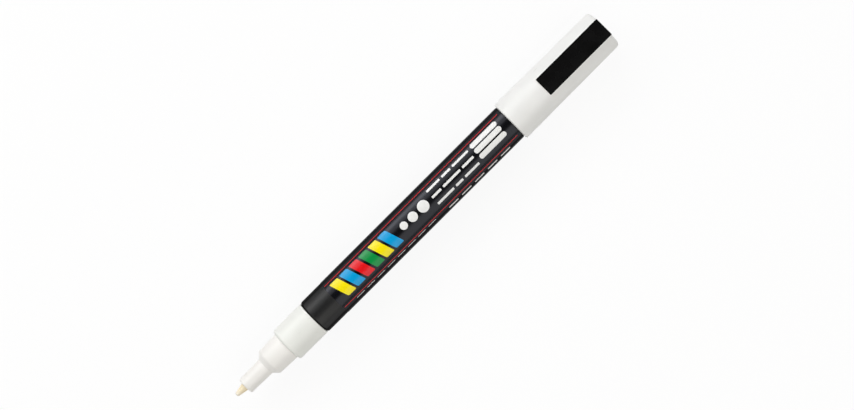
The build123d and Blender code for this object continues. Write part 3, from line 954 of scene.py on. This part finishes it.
class MARKER_OT_sleeve(bpy.types.Operator):
    """Sealing sleeve inside the cap, in natural plastic"""

    bl_idname = "marker.sleeve"
    bl_label = "Sealing sleeve"

    def execute(self, context):
        sizes = context.scene.marker_sizes
        front, rear, flange = extent("inner_cap")
        bore = sizes.sleeve_radius - sizes.sleeve_wall
        ledge = front + sizes.sleeve_flange
        corners = [
            (rear - sizes.sleeve_wall, 0),
            (rear - sizes.sleeve_wall, bore),
            (front, bore, sizes.sleeve_mouth_rounding),
            (front, flange, sizes.flange_rounding),
            (ledge, flange),
            (ledge, sizes.sleeve_radius, sizes.sleeve_rounding),
            (rear, sizes.sleeve_radius, sizes.sleeve_rounding),
            (rear, 0),
        ]
        material = moulding("natural sleeve", context.scene.marker_colours.natural, roughness=0.46)
        fit(lathe("sealing_sleeve", corners), "cap", "inner_cap", material)
        return {"FINISHED"}


class MARKER_OT_spring(bpy.types.Operator):
    """Valve spring of round wire; in the real marker it shortens as the valve opens"""

    bl_idname = "marker.spring"
    bl_label = "Valve spring"

    def execute(self, context):
        sizes = context.scene.marker_sizes
        front, rear, reach = extent("valve_spring")
        wire = sizes.wire_radius
        turns = sizes.wire_turns
        # Wire: circles across a helix, spanned by the coil's radius and the line square to it and the helix
        share = np.linspace(0, 1, COIL_STEPS * turns + 1)[:, None]
        turn = 2 * np.pi * turns * share
        coil = reach - wire
        rise = rear - front - 2 * wire
        slope = np.full_like(turn, rise / (2 * np.pi * turns * coil))
        out = np.concatenate([0 * turn, np.sin(turn), np.cos(turn)], 1)
        ahead = np.concatenate([slope, np.cos(turn), -np.sin(turn)], 1)
        ahead /= np.linalg.norm(ahead, axis=1, keepdims=True)
        across = np.cross(ahead, out)
        centre = np.concatenate([front + wire + rise * share, coil * out[:, 1:]], 1) + (0, 0, AXIS_HEIGHT)
        angle = full_turn(WIRE_SIDES)[:, None]
        tube = centre[:, None] + wire * (np.cos(angle) * out[:, None] + np.sin(angle) * across[:, None])
        ends = [pole(centre[end], WIRE_SIDES) for end in (0, -1)]
        piece = skin("valve_coil", np.concatenate([ends[0], tube, ends[1]]), flats=False)
        material = steel("spring steel", context.scene.marker_colours.steel, 0.26, stretch=(1, 0.1, 0.1))
        fit(piece, "marker", "valve_spring", material)
        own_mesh(piece)
        return {"FINISHED"}


class MARKER_OT_valve(bpy.types.Operator):
    """Finishes of the CAD pieces that stay as they are: seat, stem, cage and mixing ball"""

    bl_idname = "marker.valve"
    bl_label = "Valve and ball finishes"

    def execute(self, context):
        colours = context.scene.marker_colours
        finishes = {
            "valve_seat": rubber(colours),
            "valve_stem": moulding("stem plastic", colours.natural, roughness=0.42),
            "valve_cage": moulding("cage plastic", shade(colours.natural, 0.94), roughness=0.48),
            "mixing_ball": steel("ball steel", colours.steel, roughness=0.14),
        }
        for node, material in finishes.items():
            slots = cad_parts[node].data.materials
            slots.clear()
            slots.append(material)
        return {"FINISHED"}


class MARKER_OT_studio(bpy.types.Operator):
    """Pale floor, low backdrop, lamps, dim room and the photograph's camera"""

    bl_idname = "marker.studio"
    bl_label = "Studio"

    def execute(self, context):
        studio = context.scene.marker_studio
        context.scene.view_settings.view_transform = "Standard"
        self.floor(studio)
        self.lamp("key", studio.key, heading=0, tilt=47, distance=0.72, size=(1.3, 0.62))
        self.lamp("core", studio.core, heading=0, tilt=58, distance=0.71, size=(1.3, 0.26))
        fill = self.lamp("fill", studio.fill, heading=180, tilt=44, distance=0.72, size=(1.3, 0.70))
        fill.color = studio.fill_tint
        for name, heading in (("front", 90), ("rear", -90)):
            self.lamp(name, studio.ends, heading, tilt=50, distance=0.80, size=(0.7, 0.7))
        world = bpy.data.worlds.new("dim room")
        world.use_nodes = True
        room = world.node_tree.nodes["Background"].inputs
        room["Color"].default_value = (1, 1, 1, 1)
        room["Strength"].default_value = studio.sky
        context.scene.world = world
        self.camera(context, studio)
        return {"FINISHED"}

    def floor(self, studio):
        """Floor: a profile of flat rings, quarter-circle cove and low wall, turned about the Z axis."""
        bend = quarter_turn()
        flat = [(ring, 0) for ring in FLOOR_RINGS]
        cove = np.stack([COVE_REACH + COVE_RADIUS * np.sin(bend), COVE_RADIUS * (1 - np.cos(bend))], 1)
        wall = [(COVE_REACH + COVE_RADIUS, WALL_TOP)]
        reach, height = np.concatenate([flat, cove, wall]).T[:, :, None]
        turn = full_turn(FLOOR_SIDES)
        points = [reach * np.cos(turn), reach * np.sin(turn), height + 0 * turn]
        piece = skin("studio_floor", np.stack(points, -1), flats=False, room=True)
        piece.data.materials.append(self.paper(studio))

    def paper(self, studio):
        """White paper: lit as paper, and shown part way to plain white so that only a soft shadow stays."""
        finish = Finish("studio paper")
        path = finish.nodes.new("ShaderNodeLightPath").outputs
        seen = finish.sum("MAXIMUM", path["Is Camera Ray"], path["Is Glossy Ray"])
        seen = finish.sum("MAXIMUM", seen, path["Is Transmission Ray"])
        dark, light, bounce = [(grey, grey, grey) for grey in (*PAPER_GRAIN, PAPER_BOUNCE)]
        grain = finish.tint(finish.noise(900, detail=2), dark, light)
        finish.set(Base_Color=finish.tint(seen, bounce, grain), Roughness=0.9, Specular_IOR_Level=0.1)
        glow = finish.add("ShaderNodeEmission", Strength=1)
        share = finish.sum("MULTIPLY", seen, studio.paper)
        blend = finish.add("ShaderNodeMixShader", share, finish.shader.outputs[0], glow.outputs[0])
        finish.feed(finish.nodes["Material Output"], Surface=blend.outputs[0])
        return finish.material

    def lamp(self, name, radiance, heading, tilt, distance, size):
        """Rectangular lamp of a radiance, facing the marker.

        It stands at a heading, in degrees from +Y towards -X, and a tilt from straight up.
        """
        data = bpy.data.lights.new(name, "AREA")
        data.shape = "RECTANGLE"
        data.size, data.size_y = size
        data.energy = radiance * math.pi * size[0] * size[1]
        away = Matrix.Rotation(math.radians(heading), 3, "Z") @ Matrix.Rotation(-math.radians(tilt), 3, "X")
        lamp = bpy.data.objects.new(name, data)
        place = Vector((0, 0, AXIS_HEIGHT)) + away @ Vector((0, 0, distance))
        lamp.matrix_world = Matrix.Translation(place) @ away.to_4x4()
        lamp.visible_camera = False
        bpy.context.scene.collection.objects.link(lamp)
        return data

    def camera(self, context, studio):
        """Camera above the marker, leaning to -Y and rolled so that the marker runs up to the right."""
        data = bpy.data.cameras.new("camera")
        data.sensor_width = 36
        data.sensor_fit = "HORIZONTAL"
        data.lens = studio.lens
        data.clip_start = 0.01
        data.clip_end = 20
        aim = Vector((NIB_TIP + studio.camera_aim, 0, AXIS_HEIGHT))
        side = -studio.camera_height * math.tan(studio.camera_lean)
        eye = Vector((NIB_TIP + studio.camera_foot, side, AXIS_HEIGHT + studio.camera_height))
        back = (eye - aim).normalized()
        roll = studio.camera_roll
        right = Vector((math.cos(roll), -math.sin(roll), 0))
        right = (right - right.dot(back) * back).normalized()
        turn = Matrix((right, back.cross(right), back)).transposed().to_4x4()
        camera = bpy.data.objects.new("camera", data)
        camera.matrix_world = Matrix.Translation(eye) @ turn
        context.scene.collection.objects.link(camera)
        context.scene.camera = camera


STEPS = (
    MARKER_OT_nib,
    MARKER_OT_nozzle,
    MARKER_OT_neck,
    MARKER_OT_barrel,
    MARKER_OT_film,
    MARKER_OT_tail,
    MARKER_OT_cap,
    MARKER_OT_foil,
    MARKER_OT_sleeve,
    MARKER_OT_spring,
    MARKER_OT_valve,
    MARKER_OT_studio,
)


class MARKER_PT_pieces(bpy.types.Panel):
    """Lists the marker's pieces and studio"""

    bl_label = "Paint marker"
    bl_idname = "MARKER_PT_pieces"
    bl_space_type = "VIEW_3D"
    bl_region_type = "UI"
    bl_category = "Paint marker"

    def draw(self, context):
        for step in STEPS:
            self.layout.operator(step.bl_idname)


GROUPS = {
    "marker_sizes": MarkerSizes,
    "marker_colours": MarkerColours,
    "marker_print": MarkerPrint,
    "marker_studio": MarkerStudio,
}


def register():
    for kind in (*GROUPS.values(), *STEPS, MARKER_PT_pieces):
        bpy.utils.register_class(kind)
    for name, kind in GROUPS.items():
        setattr(bpy.types.Scene, name, PointerProperty(type=kind))


def unregister():
    for name in GROUPS:
        delattr(bpy.types.Scene, name)
    for kind in (MARKER_PT_pieces, *reversed(STEPS), *GROUPS.values()):
        bpy.utils.unregister_class(kind)


def main():
    """Registers the classes, and makes every piece and the studio."""
    register()
    bpy.ops.marker.nib()
    bpy.ops.marker.nozzle()
    bpy.ops.marker.neck()
    bpy.ops.marker.barrel()
    bpy.ops.marker.film()
    bpy.ops.marker.tail()
    bpy.ops.marker.cap()
    bpy.ops.marker.foil()
    bpy.ops.marker.sleeve()
    bpy.ops.marker.spring()
    bpy.ops.marker.valve()
    bpy.ops.marker.studio()


if __name__ == "__main__":
    main()
